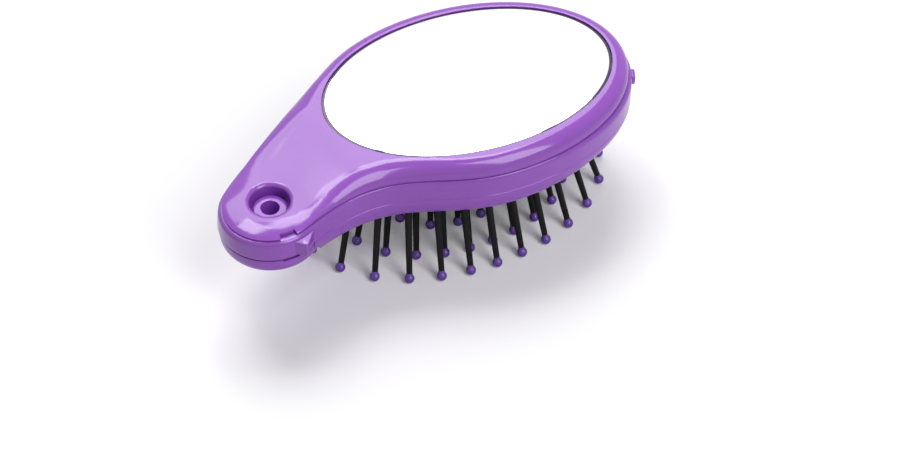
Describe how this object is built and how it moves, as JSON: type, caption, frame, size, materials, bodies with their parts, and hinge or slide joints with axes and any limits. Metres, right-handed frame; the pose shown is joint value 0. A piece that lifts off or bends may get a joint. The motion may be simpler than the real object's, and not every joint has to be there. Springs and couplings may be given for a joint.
{
  "type": "folding hairbrush with mirror",
  "caption": "Comma-shaped folding hairbrush: an oval hand mirror in a half that swivels over a cushioned half with ball-tipped pins, about a pivot with an open hole.",
  "frame": {"origin": "on the pivot axis, in the mouth of the pivot's open tube", "axes": "+X along the mirror's long axis, away from the pivot; +Z along the pivot axis, out of the mirror's face"},
  "size_m": [0.1235, 0.0677, 0.0409],
  "materials": {
    "purple_gloss": "glossy moulded plastic",
    "mirror": "silvered glass with a small bevel",
    "foam_tape": "foam adhesive tape",
    "spring_steel": "plain spring steel",
    "natural_plastic": "self-coloured bearing plastic",
    "black_plastic": "satin moulded plastic",
    "cushion_rubber": "matt soft rubber",
    "ball_tips": "glossy dipped balls"
  },
  "bodies": {
    "brush_half": {"brush_shell": "purple_gloss", "pivot_bush": "natural_plastic", "slide_washer": "natural_plastic", "brush_bezel": "purple_gloss", "cushion_plate": "black_plastic", "cushion": "cushion_rubber", "pins_outer_ring": "black_plastic", "pins_second_ring": "black_plastic", "pins_third_ring": "black_plastic", "pins_middle": "black_plastic", "tips_outer_ring": "ball_tips", "tips_second_ring": "ball_tips", "tips_third_ring": "ball_tips", "tips_middle": "ball_tips"},
    "mirror_half": {"mirror_frame": "purple_gloss", "mirror_glass": "mirror", "mirror_tape": "foam_tape", "back_cover": "purple_gloss", "pivot_hub": "purple_gloss", "pivot_cap": "purple_gloss", "spring_washer": "spring_steel"}
  },
  "joints": [
    {"name": "handle_swivel", "type": "hinge", "parent": "brush_half", "child": "mirror_half", "pos_m": [0, 0, 0], "axis": [0, 0, 1], "range_deg": [0, 180]}
  ]
}
